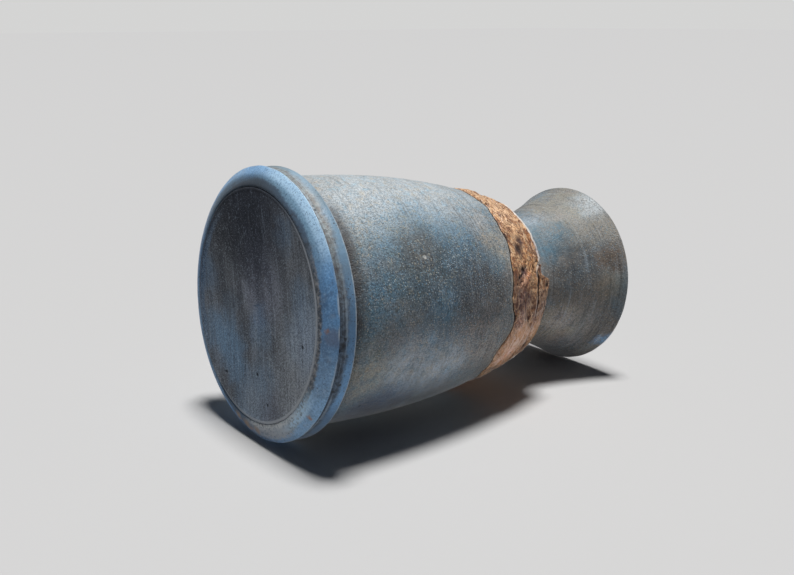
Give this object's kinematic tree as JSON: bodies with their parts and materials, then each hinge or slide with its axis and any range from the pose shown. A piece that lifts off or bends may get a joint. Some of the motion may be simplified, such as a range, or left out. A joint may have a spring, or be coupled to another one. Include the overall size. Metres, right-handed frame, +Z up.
{
  "type": "stoneware vase",
  "caption": "Matte blue-grey stoneware vase: barrel body on a ringed foot, a shoulder wrapped in a torn band of raw rust clay, and a short flared neck.",
  "frame": {"origin": "centre of the flat underside of the base", "axes": "+Z up along the axis of the pot, from the base to the mouth; the free end of the torn strip on the ledge starts between +X and +Y"},
  "size_m": [0.12, 0.12, 0.192],
  "materials": {
    "base_clay": "matte, wire-cut and stained",
    "foot_blue": "matte blue, worn on the edges",
    "body_slip": "matte mottled blue-grey, speckled",
    "inner_clay": "matte raw clay",
    "torn_clay": "matte torn raw clay",
    "neck_slip": "matte mottled grey, speckled"
  },
  "bodies": {
    "root": {"base_disc": "base_clay", "foot_ring": "foot_blue", "foot_bead": "foot_blue", "body_wall": "body_slip", "shoulder_ring": "inner_clay", "bark_band": "torn_clay", "torn_strip": "torn_clay", "neck_collar": "neck_slip"}
  },
  "joints": []
}
